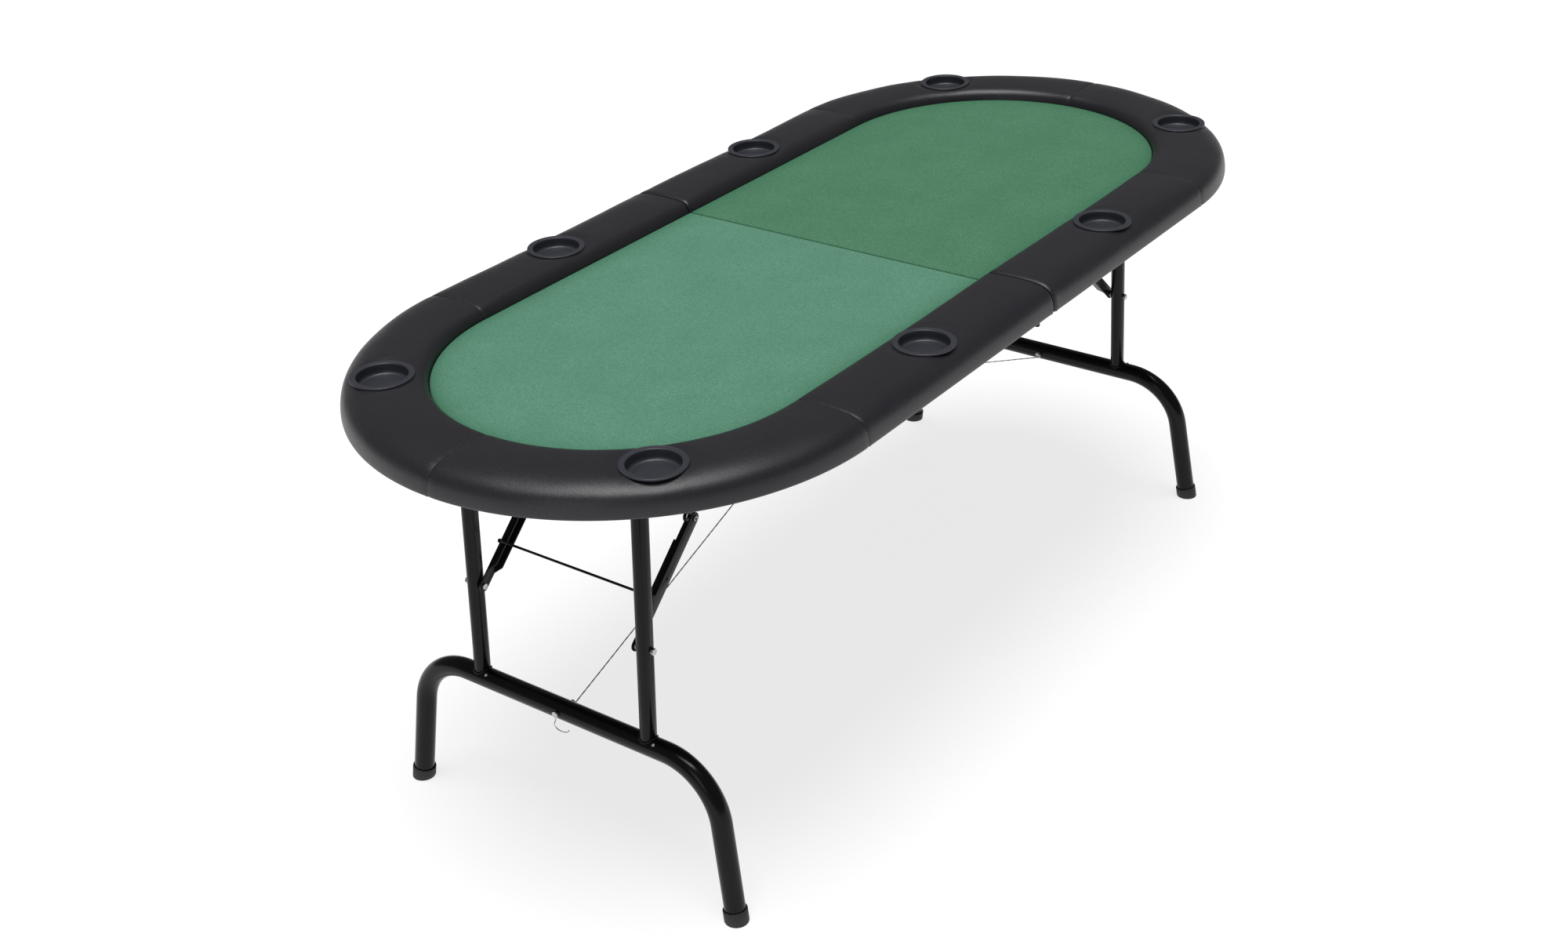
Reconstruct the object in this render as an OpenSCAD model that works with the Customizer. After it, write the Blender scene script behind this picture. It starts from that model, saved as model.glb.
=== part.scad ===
// Folding poker table: an oval padded top in two halves, hinged across the
// middle, on two folding leg frames. Millimetres, +Z up. The origin is on the
// floor under the middle of the top, and +X runs along the table's length.
// Every sub-part is drawn for the left half, and side = right mirrors it.

/* [Table top] */
// Length of the top, end to end
table_l = 1829; // [1600:1:2300]
// Width of the top, side to side
table_w = 825; // [760:1:1000]
// Height of the rail's top above the floor
table_h = 740; // [680:1:900]
// Width of the padded rail, seen from above
rail_w = 127; // [106:1:155]
// Height of the rail's outer side
rail_t = 45; // [38:1:60]
// Rounding along the rail's outer top edge
rail_round_out = 14; // [6:1:20]
// Rounding along the rail's inner top edge
rail_round_in = 10; // [4:1:14]
// Drop from the rail's top to the cloth
felt_drop = 18.5; // [14:0.5:22]
// Thickness of the cloth and its foam
felt_t = 5; // [3:0.5:8]
// Thickness of the plywood base
board_t = 12; // [9:0.5:15]
// Thickness of the cover where it wraps the board's edge
skirt_t = 8; // [4:0.5:12]
// Gap between the two halves at the fold
fold_gap = 3; // [1:0.5:6]

/* [Cup holders] */
// Distance of a side cup holder from the fold
cup_side_x = 266; // [180:1:340]
// Angle of an end cup holder round the rounded end
cup_end_angle = 45; // [30:1:60]
// Inner diameter of a cup holder
cup_bore_d = 74; // [62:1:78]
// Outer diameter of a cup holder's flange
cup_flange_d = 93; // [88:1:100]
// Thickness of the flange
cup_flange_t = 3; // [2:0.5:4]
// Height of the flange above the rail's top
cup_proud = 1.5; // [0.5:0.5:2]
// Depth from the flange's top to the floor of the cup holder
cup_depth = 17; // [12:0.5:22]
// Wall and floor thickness of a cup holder
cup_wall = 2.5; // [1.5:0.5:4]

/* [Leg frames] */
// Distance of a leg frame's pivot from the end of the top
leg_inset = 227.5; // [200:0.5:300]
// Drop from the underside to the pivot's axis
pivot_drop = 23; // [20:0.5:26]
// Outward lean of a leg frame
leg_lean = 3.66; // [0:0.01:8]
// Diameter of a post
post_d = 25; // [20:0.5:30]
// Distance of a post from the table's centre line
post_y = 162.5; // [140:0.5:200]
// Wall of the posts and tubes
tube_wall = 1.5; // [1:0.1:2]
// Diameter of the pivot tube
pivot_tube_d = 22; // [18:0.5:25]
// Length of the pivot tube
pivot_tube_l = 420; // [390:1:500]
// Diameter of the foot tube
foot_tube_d = 32; // [26:0.5:34]
// Height of the foot tube's crossbar above the floor
bar_z = 240.5; // [200:0.5:300]
// Bend radius of the foot tube, at its centre line
bend_r = 100; // [70:1:120]
// Outward splay of the feet
foot_splay = 8.6; // [2:0.1:14]
// Distance of a foot from the table's centre line
foot_y = 316; // [300:1:350]
// Diameter of a foot cap
cap_d = 37; // [35:0.5:40]
// Height of a foot cap
cap_h = 20; // [15:1:30]
// Rubber under the end of the foot tube
cap_floor = 5; // [4:0.5:8]

/* [Braces] */
// Distance of a brace's bolt from the leg pivot, along the post
brace_at = 272.5; // [220:0.5:320]
// Slope of an open brace, from the horizontal
brace_slope = 42.5; // [38:0.5:50]
// Width of a brace link
link_w = 18; // [14:0.5:20]
// Depth of a brace link's channel
link_depth = 12; // [9:0.5:14]
// Sheet thickness of a brace link
link_gauge = 2.2; // [1.5:0.1:3]
// Diameter of the brace's bolts and pins
brace_pin_d = 6; // [5:0.5:9]
// Diameter of the cross rod
rod_d = 4; // [3:0.5:6]
// Distance of the cross rod from the brace's bolt
rod_at = 70; // [50:1:90]
// Gap that a washer keeps between a post and its brace
brace_gap = 2.6; // [1.5:0.1:4]

/* [Fold and cables] */
// Drop from the underside to the fold's axis
fold_drop = 45; // [43:0.5:50]
// Distance of an outer hinge from the table's centre line
hinge_y = 225; // [150:1:250]
// Diameter of a hinge pin
hinge_pin_d = 8; // [6:0.5:10]
// Thickness of a hinge ear
ear_t = 4; // [3:0.5:6]
// Width of the batten beside the fold
batten_w = 40; // [36:1:60]
// Thickness of the batten
batten_t = 18; // [12:1:20]
// Length of the batten
batten_l = 540; // [520:1:560]
// Distance of the batten from the fold
batten_set = 22; // [18:1:30]
// Length of the strut from the fold's axis to its cable hole
strut_l = 172; // [140:1:200]
// Width of the strut
strut_w = 26; // [20:1:32]
// Thickness of the strut
strut_t = 5; // [4:0.5:8]
// Diameter of a steel cable
cable_d = 2; // [1.5:0.1:3]

/* [Clearances] */
// Gap round each soft pad
soft_gap = 0.3; // [0.2:0.05:1]
// Radial running clearance of a pivot
run_gap = 0.08; // [0.04:0.01:0.1]
// Sideways gap between parts that turn past each other
side_gap = 0.5; // [0.3:0.1:1]

/* [Hidden] */
$fn = 64;

left = 0;
right = 1;
front = 1;
back = 0;
far_cut = 3000;          // larger than the table, for cutting away a side
cut = 1;                 // how far a cutter runs past a face

end_r = table_w / 2;                 // radius of a rounded end
arc_x = table_l / 2 - end_r;         // distance of that end's centre from the fold
inner_r = end_r - rail_w;            // radius of the rail's inner edge
rail_mid_r = end_r - rail_w / 2;     // radius of the line the cup holders stand on
half_gap = fold_gap / 2;

under_z = table_h - rail_t;          // underside of the board
board_z = under_z + board_t;         // top of the board
felt_z = table_h - felt_drop;        // top of the cloth
deck_z = felt_z - felt_t;            // top of the play deck
rim_z = table_h + cup_proud;         // top of the cup holders' flanges
cup_r = cup_bore_d / 2 + cup_wall;   // outer radius of a cup holder below its flange

pivot_x = table_l / 2 - leg_inset;
pivot_z = under_z - pivot_drop;
leg_l = pivot_z / cos(leg_lean);               // from the pivot to the floor
bar_at = (pivot_z - bar_z) / cos(leg_lean);    // from the pivot to the crossbar
shin_l = (leg_l - bar_at - bend_r + bend_r * sin(foot_splay)) / cos(foot_splay);
bar_half = foot_y - bend_r * cos(foot_splay) - shin_l * sin(foot_splay);
bend_draw = 0.1;                               // a bend is this much slimmer
bend_lap = 0.5;                                // the straight runs reach this far into a bend
post_top = pivot_tube_d / 4;                   // a post laps the pivot tube this far

bolt_x = -pivot_x - brace_at * sin(leg_lean);  // the brace's bolt on the post
bolt_z = pivot_z - brace_at * cos(leg_lean);
brace_rise = pivot_z - bolt_z;
anchor_x = bolt_x + brace_rise / tan(brace_slope);   // the brace's pin under the board
brace_l = brace_rise / sin(brace_slope);
folded_bolt_x = brace_at - pivot_x;                  // the bolt with the leg folded
upper_l = (brace_l + anchor_x - folded_bolt_x) / 2;  // the two links close flat together
lower_l = brace_l - upper_l;
pin_r = brace_pin_d / 2;
lower_out = post_y - post_d / 2 - brace_gap;         // outer face of a lower link
lower_in = lower_out - link_depth;
upper_out = lower_in - side_gap;
upper_in = upper_out - link_depth;
lug_lip = 1.2;
rod_off = link_w / 2 + rod_d / 2 + lug_lip;          // the rod stands clear of both links
lug_r = rod_d / 2 + lug_lip;
flange_start = link_w + 4;                           // a link's flanges start past its pin
flange_slope = 14;                                   // and rise to their depth over this length
rivet_at = lower_l * 0.52;                           // a rivet on the lower link
rivet_off = 2;                                       // it sits this far below the middle
rivet_r = 2.5;
rivet_h = 1;
step_at = lower_l * 0.8;                             // from here its upper flange is shallower
step_d = 3.5;
pin_lip = 1.5;                                       // the middle pin's head is this much wider
pin_head_h = brace_gap - side_gap;
bolt_end_gap = 0.3;                                  // round a brace bolt's washer and end
bolt_end_lip = 1.6;
bolt_end_h = 2.5;
bolt_head_d = 11;
bolt_head_h = 5;
washer_lip = 3;

fold_z = under_z - fold_drop;
batten_z = under_z - batten_t;
batten_mid = batten_set + batten_w / 2;
ear_r = hinge_pin_d / 2 + 5;
leaf_t = 2.5;                                        // sheet of the flanges and saddles
leaf_w = 30;
leaf_screw = 18.6;                                   // from the ear to the leaf's screw
ear_reach = 2;                                       // a hinge pin stands out past its ears
head_h = 2.4;                                        // a hinge pin's flattened end
head_lip = 1.8;
strut_gap = strut_t / 2 + side_gap;
saddle_y = (post_y + post_d / 2 + pivot_tube_l / 2) / 2;
saddle_w = 16;
saddle_l = 66;
saddle_screw = 24;
screw_r = 2;
screw_head_r = 4.5;
screw_head_h = 2.4;
screw_bite = 9;                                      // how far a screw goes into the wood
screw_hole_r = screw_r + 0.4;
bracket_l = 44;
bracket_w = 24;
bracket_screw = 14;
anchor_w = link_w;

bar_x = -pivot_x - bar_at * sin(leg_lean);           // the crossbar's middle
cable_bolt_d = 6;
nut_d = 11;
nut_h = 4.5;
nut_end = 6;                                         // the bolt's end stands out past the tube
cable_gap = 9;
cable_eye = foot_tube_d / 2 + cable_gap;             // the cable starts this far inboard
cable_start = [bar_x + cable_eye, 0, bar_z];
cable_end_gap = 2;
cable_end = [-strut_w / 2 - cable_end_gap, 0, fold_z - strut_l];
cable_hole_x = 7;                                    // from the strut's middle to its holes
ferrule_d = 5;
ferrule_l = 16;
bumper_d = 9;
bumper_h = 22;
bumper_set = 24;                                     // from the top's long edge to a bumper
bumper_x = 12;
bumper_y = end_r - bumper_set;

// Places of the cup holders on the left half, on the back side
side_cup = [-cup_side_x, rail_mid_r];
end_cup = [-arc_x - rail_mid_r * cos(cup_end_angle), rail_mid_r * sin(cup_end_angle)];

// Helpers ------------------------------------------------------------------

// Puts what is drawn for the left half on either side
module on_side(side) mirror([side, 0, 0]) children();

// Puts what is drawn for the back on the front
module on_face(face) mirror([0, face, 0]) children();

module on_both_faces() {
  for (face = [back, front]) on_face(face) children();
}

// The left half of an oval whose ends have radius r, ending gap short of the fold
module half_oval(r, gap) {
  translate([-arc_x, 0]) circle(r, $fn = 128);
  translate([-arc_x, -r]) square([arc_x - gap, 2 * r]);
}

// The rail's section: x is the distance from the inner edge, y the height
module rail_section() {
  bottom = board_z + soft_gap;
  translate([0, bottom]) square([rail_w, table_h - rail_round_out - bottom]);
  translate([rail_round_in, bottom])
    square([rail_w - rail_round_in - rail_round_out, table_h - bottom]);
  translate([0, bottom]) square([rail_round_in, table_h - rail_round_in - bottom]);
  translate([rail_round_in, table_h - rail_round_in]) circle(rail_round_in);
  translate([rail_w - rail_round_out, table_h - rail_round_out]) circle(rail_round_out);
  translate([rail_w - skirt_t, under_z]) square([skirt_t, rail_t - rail_round_out]);
}

// The space a cup holder takes out of the rail
module cup_space(place) {
  translate([place[0], place[1], rim_z - cup_flange_t])
    cylinder(h = far_cut, d = cup_flange_d + 2 * soft_gap);
  translate([place[0], place[1], rim_z - cup_depth - cup_wall - soft_gap])
    cylinder(h = far_cut, r = cup_r + soft_gap);
}

// The leg frame's own axes: -Z runs down the leg from the pivot
module leg_axes() translate([-pivot_x, 0, pivot_z]) rotate([0, leg_lean, 0]) children();

// The foot tube's section; a bend draws it in a little
module foot_ring(draw = 0) difference() {
  circle(d = foot_tube_d - draw);
  circle(d = foot_tube_d - 2 * tube_wall + draw);
}

// The bent foot tube, with its straight runs lapping the bends and its ends cut short
module foot_path(short) {
  translate([0, bar_half + bend_lap, -bar_at]) rotate([90, 0, 0])
    linear_extrude(2 * (bar_half + bend_lap)) foot_ring();
  on_both_faces() {
    translate([0, bar_half, -bar_at - bend_r]) rotate([90, 0, 90]) rotate([0, 0, foot_splay])
      rotate_extrude(angle = 90 - foot_splay) translate([bend_r, 0]) foot_ring(bend_draw);
    shin_axes() translate([0, 0, short - shin_l])
      linear_extrude(shin_l - short + bend_lap) foot_ring();
  }
}

// The lower leg's own axes: -Z runs down to the foot
module shin_axes() {
  translate([0, bar_half + bend_r * cos(foot_splay), -bar_at - bend_r + bend_r * sin(foot_splay)])
    rotate([foot_splay, 0, 0]) children();
}

// A flat link shape along +X with round ends, drawn in XZ, outer face at y
module link_plate(length, y) {
  translate([0, y, 0]) rotate([90, 0, 0]) linear_extrude(link_gauge) {
    circle(d = link_w);
    translate([length, 0]) circle(d = link_w);
    translate([0, -link_w / 2]) square([length, link_w]);
  }
}

// The two flanges of a link's channel
module link_flanges(length, y) {
  end = length - link_w / 2;
  for (z = [-link_w / 2, link_w / 2 - link_gauge])
    translate([0, y, z]) linear_extrude(link_gauge)
      polygon([[flange_start, 0], [flange_start + flange_slope, -link_depth],
               [end, -link_depth], [end, 0]]);
}

// A pin along Y from y0 to y1
module pin(r, y0, y1) translate([0, y1, 0]) rotate([90, 0, 0]) cylinder(h = y1 - y0, r = r);

// A screw driven up from z, with its head below
module screw_up(x, y, z) {
  translate([x, y, z - screw_head_h]) cylinder(h = screw_head_h, r = screw_head_r);
  translate([x, y, z]) cylinder(h = leaf_t + screw_bite, r = screw_r);
}

// Where the hinge ears stand: the middle pair leaves room for the strut
function ear_gap(y) = y == 0 ? strut_gap : side_gap / 2;

// Table top ------------------------------------------------------------------

module base_board(side) color("#3a332c") on_side(side)
  translate([0, 0, under_z]) linear_extrude(board_t)
    half_oval(end_r - skirt_t - soft_gap, half_gap);

module play_deck(side) color("#8b6b45") on_side(side)
  translate([0, 0, board_z]) linear_extrude(deck_z - board_z)
    half_oval(inner_r - soft_gap, half_gap);

module felt_pad(side) color("#5d8d74") on_side(side)
  translate([0, 0, deck_z]) linear_extrude(felt_t)
    half_oval(inner_r - soft_gap, half_gap);

module fold_batten(side) color("#9a7a50") on_side(side)
  translate([-batten_set - batten_w, -batten_l / 2, batten_z])
    cube([batten_w, batten_l, batten_t]);

module rail_straight(side, face) color("#2f2d31") on_side(side) on_face(face)
  difference() {
    translate([-arc_x, inner_r, 0]) rotate([90, 0, 90])
      linear_extrude(arc_x - half_gap) rail_section();
    cup_space(side_cup);
  }

module rail_end(side, face) color("#2f2d31") on_side(side) on_face(face)
  difference() {
    translate([-arc_x, 0, 0]) rotate([0, 0, 90])
      rotate_extrude(angle = 90, $fn = 128) translate([inner_r, 0]) rail_section();
    cup_space(end_cup);
  }

module cup_holder(place, side, face) color("#202126") on_side(side) on_face(face)
  translate([place[0], place[1], rim_z]) difference() {
    union() {
      translate([0, 0, -cup_flange_t]) cylinder(h = cup_flange_t, d = cup_flange_d);
      translate([0, 0, -cup_depth - cup_wall]) cylinder(h = cup_depth, r = cup_r);
    }
    translate([0, 0, -cup_depth]) cylinder(h = cup_depth + cut, d = cup_bore_d);
  }

// Hardware under the top -----------------------------------------------------

// One hinge ear: a knuckle at the fold's axis and a flange under the batten
module hinge_ear(y) {
  translate([0, y + ear_gap(y) + ear_t, 0]) difference() {
    rotate([90, 0, 0]) linear_extrude(ear_t) {
      translate([0, fold_z]) circle(ear_r);
      polygon([[0, fold_z - ear_r], [0, fold_z + ear_r], [-batten_set, batten_z],
               [-batten_set - batten_w, batten_z], [-batten_set - batten_w, batten_z - leaf_t]]);
    }
    translate([0, cut, fold_z]) rotate([90, 0, 0])
      cylinder(h = ear_t + 2 * cut, r = hinge_pin_d / 2 + run_gap);
  }
  translate([-batten_set - batten_w, y + ear_gap(y), batten_z - leaf_t]) difference() {
    cube([batten_w, leaf_w, leaf_t]);
    translate([batten_w / 2, leaf_screw, -cut]) cylinder(h = leaf_t + 2 * cut, r = screw_hole_r);
  }
}

module hinge_ears(side) color("#35363a") on_side(side) on_face(side)
  for (y = [-hinge_y, 0, hinge_y]) hinge_ear(y);

module hinge_pins() color("#b9bbbd")
  for (y = [-hinge_y, 0, hinge_y]) {
    reach = ear_gap(y) + ear_t + ear_reach;
    translate([0, y, fold_z]) {
      pin(hinge_pin_d / 2, -reach, reach);
      for (end = [-1, 1]) pin_head(end * reach);
    }
  }

// The flattened head at an end of a hinge pin
module pin_head(y) {
  translate([0, y, 0]) rotate([90, 0, 0])
    cylinder(h = head_h, r = hinge_pin_d / 2 + head_lip, center = true);
}

module fold_bumpers() color("#1b1b1c") on_both_faces()
  translate([-bumper_x, bumper_y, under_z - bumper_h]) cylinder(h = bumper_h, d = bumper_d);

// A saddle that wraps the pivot tube and screws to the board
module leg_saddle(y) {
  outer_r = pivot_tube_d / 2 + leaf_t;
  translate([-pivot_x, y + saddle_w / 2, 0]) difference() {
    rotate([90, 0, 0]) linear_extrude(saddle_w) {
      translate([0, pivot_z]) circle(outer_r);
      translate([-outer_r, pivot_z]) square([2 * outer_r, under_z - pivot_z]);
      translate([-saddle_l / 2, under_z - leaf_t]) square([saddle_l, leaf_t]);
    }
    translate([0, cut, pivot_z]) rotate([90, 0, 0])
      cylinder(h = saddle_w + 2 * cut, r = pivot_tube_d / 2 + run_gap);
    for (x = [-saddle_screw, saddle_screw])
      translate([x, -saddle_w / 2, under_z - leaf_t - cut])
        cylinder(h = leaf_t + 2 * cut, r = screw_hole_r);
  }
}

module leg_saddles(side) color("#35363a") on_side(side) on_both_faces() leg_saddle(saddle_y);

// The brace's bracket: a flange under the board, an ear and the upper link's pin
module brace_bracket() {
  ear_out = upper_in - side_gap;
  translate([anchor_x, ear_out, 0]) {
    rotate([90, 0, 0]) linear_extrude(leaf_t) {
      translate([0, pivot_z]) circle(d = anchor_w);
      translate([-anchor_w / 2, pivot_z]) square([anchor_w, under_z - pivot_z]);
    }
    translate([-bracket_l / 2, -bracket_w, under_z - leaf_t]) difference() {
      cube([bracket_l, bracket_w, leaf_t]);
      for (x = [-bracket_screw, bracket_screw])
        translate([bracket_l / 2 + x, bracket_w / 2, -cut])
          cylinder(h = leaf_t + 2 * cut, r = screw_hole_r);
    }
    translate([0, 0, pivot_z]) pin(pin_r, -leaf_t - 2, upper_out - ear_out);
  }
}

module brace_brackets(side) color("#35363a") on_side(side) on_both_faces() brace_bracket();

module screws(side) color("#a9abad") on_side(side) {
  on_both_faces() {
    for (x = [-saddle_screw, saddle_screw]) screw_up(x - pivot_x, saddle_y, under_z - leaf_t);
    for (x = [-bracket_screw, bracket_screw])
      screw_up(anchor_x + x, upper_in - side_gap - bracket_w / 2, under_z - leaf_t);
  }
  on_face(side) for (y = [-hinge_y, 0, hinge_y])
    screw_up(-batten_mid, y + ear_gap(y) + leaf_screw, batten_z - leaf_t);
}

module centre_strut() color("#35363a") difference() {
  translate([0, strut_t / 2, fold_z]) rotate([90, 0, 0]) linear_extrude(strut_t) {
    circle(d = strut_w);
    translate([-strut_w / 2, -strut_l]) square([strut_w, strut_l]);
    translate([0, -strut_l]) circle(d = strut_w);
  }
  translate([0, 0, fold_z]) pin(hinge_pin_d / 2 + run_gap, -strut_t, strut_t);
  for (x = [-cable_hole_x, cable_hole_x])
    translate([x, 0, fold_z - strut_l]) pin(cable_d, -strut_t, strut_t);
}

// A taut cable with a pressed ferrule near each end
module cable(side) color("#8d8f92") on_side(side) {
  run = cable_end - cable_start;
  length = norm(run);
  translate(cable_start) rotate([0, 90 - atan2(run[2], run[0]), 0]) {
    cylinder(h = length, d = cable_d);
    for (z = [ferrule_l / 2, length - 1.5 * ferrule_l])
      translate([0, 0, z]) cylinder(h = ferrule_l, d = ferrule_d);
  }
}

// Leg frames -----------------------------------------------------------------

module pivot_tube(side) color("#1c1c1e") on_side(side) translate([-pivot_x, 0, pivot_z])
  difference() {
    pin(pivot_tube_d / 2, -pivot_tube_l / 2, pivot_tube_l / 2);
    pin(pivot_tube_d / 2 - tube_wall, -pivot_tube_l / 2 - cut, pivot_tube_l / 2 + cut);
  }

module post(side, face) color("#1c1c1e") on_side(side) on_face(face) leg_axes()
  difference() {
    translate([0, post_y, -bar_at]) cylinder(h = bar_at - post_top, d = post_d);
    translate([0, post_y, -bar_at]) cylinder(h = bar_at, d = post_d - 2 * tube_wall);
    pin(pivot_tube_d / 2, 0, far_cut);
    translate([0, 0, -bar_at]) pin(foot_tube_d / 2, 0, bar_half);
    translate([0, 0, -brace_at]) pin(pin_r + run_gap, post_y - post_d, post_y + post_d);
  }

module foot_tube(side) color("#1c1c1e") on_side(side) leg_axes()
  difference() {
    foot_path(cap_floor);
    translate([0, 0, -bar_at]) rotate([0, 90, 0])
      cylinder(h = foot_tube_d + 2 * cut, d = cable_bolt_d + 2 * run_gap, center = true);
  }

module foot_caps(side) color("#26262a") on_side(side)
  intersection() {
    leg_axes() on_both_faces() shin_axes() difference() {
      translate([0, 0, -shin_l - cap_h]) cylinder(h = 2 * cap_h, d = cap_d);
      translate([0, 0, cap_floor - shin_l]) cylinder(h = 2 * cap_h, d = foot_tube_d + 2 * run_gap);
    }
    translate([-far_cut / 2, -far_cut / 2, 0]) cube([far_cut, far_cut, 2 * cap_h]);
  }

// The bolt through a post: head outside, a washer, and a flat end inside the link's channel
module brace_bolts(side) color("#b9bbbd") on_side(side) on_both_faces() leg_axes()
  translate([0, 0, -brace_at]) {
    inner_end = lower_out - link_gauge - bolt_end_gap;
    pin(pin_r, inner_end, post_y + post_d / 2);
    pin(pin_r + bolt_end_lip, inner_end - bolt_end_h, inner_end);
    pin(pin_r + washer_lip, lower_out + bolt_end_gap, post_y - post_d / 2);
    translate([0, post_y + post_d / 2, 0]) rotate([-90, 0, 0])
      cylinder(h = bolt_head_h, d = bolt_head_d, $fn = 6);
  }

module cable_bolt(side) color("#b9bbbd") on_side(side) leg_axes() translate([0, 0, -bar_at]) {
  rotate([0, 90, 0]) translate([0, 0, -foot_tube_d / 2])
    cylinder(h = foot_tube_d + nut_end, d = cable_bolt_d);
  for (turn = [-90, 90]) rotate([0, turn, 0]) translate([0, 0, foot_tube_d / 2])
    cylinder(h = nut_h, d = nut_d, $fn = 6);
}

// Braces -----------------------------------------------------------------------

// The lower link's own axes: +X runs up the open brace from its bolt
module lower_axes() translate([bolt_x, 0, bolt_z]) rotate([0, -brace_slope, 0]) children();

// The upper link's own axes: +X runs down the open brace from its pin
module upper_axes() translate([anchor_x, 0, pivot_z]) rotate([0, 180 - brace_slope, 0]) children();

module lower_link() {
  difference() {
    union() {
      link_plate(lower_l, lower_out);
      link_flanges(lower_l, lower_out);
      translate([rod_at, lower_out, rod_off]) rotate([90, 0, 0]) cylinder(h = link_gauge, r = lug_r);
      translate([rod_at - lug_r, lower_out - link_gauge, 0]) cube([2 * lug_r, link_gauge, rod_off]);
    }
    pin(pin_r + run_gap, lower_in - cut, lower_out + cut);
    translate([rod_at, 0, rod_off]) pin(rod_d / 2, lower_in - cut, lower_out + cut);
    translate([step_at, lower_in - cut, link_w / 2 - 1.5 * link_gauge])
      cube([lower_l - step_at, step_d + cut, 3 * link_gauge]);
  }
  translate([lower_l, 0, 0]) {
    pin(pin_r, lower_in, lower_out - link_gauge);
    pin(pin_r + pin_lip, lower_out, lower_out + pin_head_h);
  }
  translate([rivet_at, 0, -rivet_off]) pin(rivet_r, lower_out, lower_out + rivet_h);
}

module lower_links(side) color("#242426") on_side(side) on_both_faces() lower_axes() lower_link();

module cross_rod(side) color("#1c1c1e") on_side(side) lower_axes()
  translate([rod_at, 0, rod_off]) pin(rod_d / 2, -lower_out - rivet_h, lower_out + rivet_h);

module upper_link() {
  difference() {
    union() {
      link_plate(upper_l, upper_out);
      link_flanges(upper_l, upper_out);
    }
    pin(pin_r + run_gap, upper_in - cut, upper_out + cut);
    translate([upper_l, 0, 0]) pin(pin_r + run_gap, upper_in - cut, upper_out + cut);
  }
}

module upper_links(side) color("#242426") on_side(side) on_both_faces() upper_axes() upper_link();

// Nodes ------------------------------------------------------------------------

base_board(left);  // left_base_board
play_deck(left);  // left_play_deck
felt_pad(left);  // left_felt_pad
fold_batten(left);  // left_fold_batten
rail_straight(left, front);  // left_rail_front
rail_straight(left, back);  // left_rail_back
rail_end(left, front);  // left_rail_end_front
rail_end(left, back);  // left_rail_end_back
cup_holder(side_cup, left, front);  // left_cup_front
cup_holder(side_cup, left, back);  // left_cup_back
cup_holder(end_cup, left, front);  // left_cup_end_front
cup_holder(end_cup, left, back);  // left_cup_end_back
hinge_ears(left);  // left_hinge_ears
leg_saddles(left);  // left_leg_saddles
brace_brackets(left);  // left_brace_brackets
screws(left);  // left_screws
cable(left);  // left_cable
base_board(right);  // right_base_board
play_deck(right);  // right_play_deck
felt_pad(right);  // right_felt_pad
fold_batten(right);  // right_fold_batten
rail_straight(right, front);  // right_rail_front
rail_straight(right, back);  // right_rail_back
rail_end(right, front);  // right_rail_end_front
rail_end(right, back);  // right_rail_end_back
cup_holder(side_cup, right, front);  // right_cup_front
cup_holder(side_cup, right, back);  // right_cup_back
cup_holder(end_cup, right, front);  // right_cup_end_front
cup_holder(end_cup, right, back);  // right_cup_end_back
hinge_ears(right);  // right_hinge_ears
leg_saddles(right);  // right_leg_saddles
brace_brackets(right);  // right_brace_brackets
screws(right);  // right_screws
cable(right);  // right_cable
hinge_pins();
fold_bumpers();
centre_strut();
pivot_tube(left);  // left_pivot_tube
post(left, front);  // left_post_front
post(left, back);  // left_post_back
foot_tube(left);  // left_foot_tube
foot_caps(left);  // left_foot_caps
brace_bolts(left);  // left_brace_bolts
cable_bolt(left);  // left_cable_bolt
pivot_tube(right);  // right_pivot_tube
post(right, front);  // right_post_front
post(right, back);  // right_post_back
foot_tube(right);  // right_foot_tube
foot_caps(right);  // right_foot_caps
brace_bolts(right);  // right_brace_bolts
cable_bolt(right);  // right_cable_bolt
lower_links(left);  // left_lower_links
cross_rod(left);  // left_cross_rod
upper_links(left);  // left_upper_links
lower_links(right);  // right_lower_links
cross_rod(right);  // right_cross_rod
upper_links(right);  // right_upper_links
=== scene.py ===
# Looks of the folding card table: padded rail, cloth, cup holders and tube legs.
# Metres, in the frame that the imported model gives.
import math

import bmesh
import bpy
from mathutils import Matrix, Vector, noise
from mathutils.bvhtree import BVHTree


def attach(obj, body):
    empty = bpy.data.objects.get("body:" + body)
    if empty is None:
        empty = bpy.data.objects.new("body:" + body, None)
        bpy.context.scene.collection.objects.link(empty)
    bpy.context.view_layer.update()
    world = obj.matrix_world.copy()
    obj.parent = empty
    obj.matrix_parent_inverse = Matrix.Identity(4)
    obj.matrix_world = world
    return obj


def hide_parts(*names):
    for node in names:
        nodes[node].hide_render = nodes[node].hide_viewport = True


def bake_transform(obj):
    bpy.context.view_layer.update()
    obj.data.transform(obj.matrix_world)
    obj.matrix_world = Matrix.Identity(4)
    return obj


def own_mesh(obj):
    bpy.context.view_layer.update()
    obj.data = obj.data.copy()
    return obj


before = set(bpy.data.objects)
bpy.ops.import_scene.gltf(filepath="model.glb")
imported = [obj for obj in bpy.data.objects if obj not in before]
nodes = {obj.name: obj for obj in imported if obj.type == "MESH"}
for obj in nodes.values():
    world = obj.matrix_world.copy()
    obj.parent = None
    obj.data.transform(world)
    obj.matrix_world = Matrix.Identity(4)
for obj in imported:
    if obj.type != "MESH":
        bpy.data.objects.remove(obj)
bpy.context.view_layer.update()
mm = 0.001
scene = bpy.context.scene
sideNames = ("left", "right")
faceNames = ("front", "back")
waveTurn = 6.283  # a wave texture repeats this often in one unit


def hexColour(code):
    # sRGB hex to the linear values that the shaders use
    parts = [int(code[i:i + 2], 16) / 255 for i in (0, 2, 4)]
    return tuple(c / 12.92 if c <= 0.04045 else ((c + 0.055) / 1.055) ** 2.4 for c in parts) + (1,)


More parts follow.
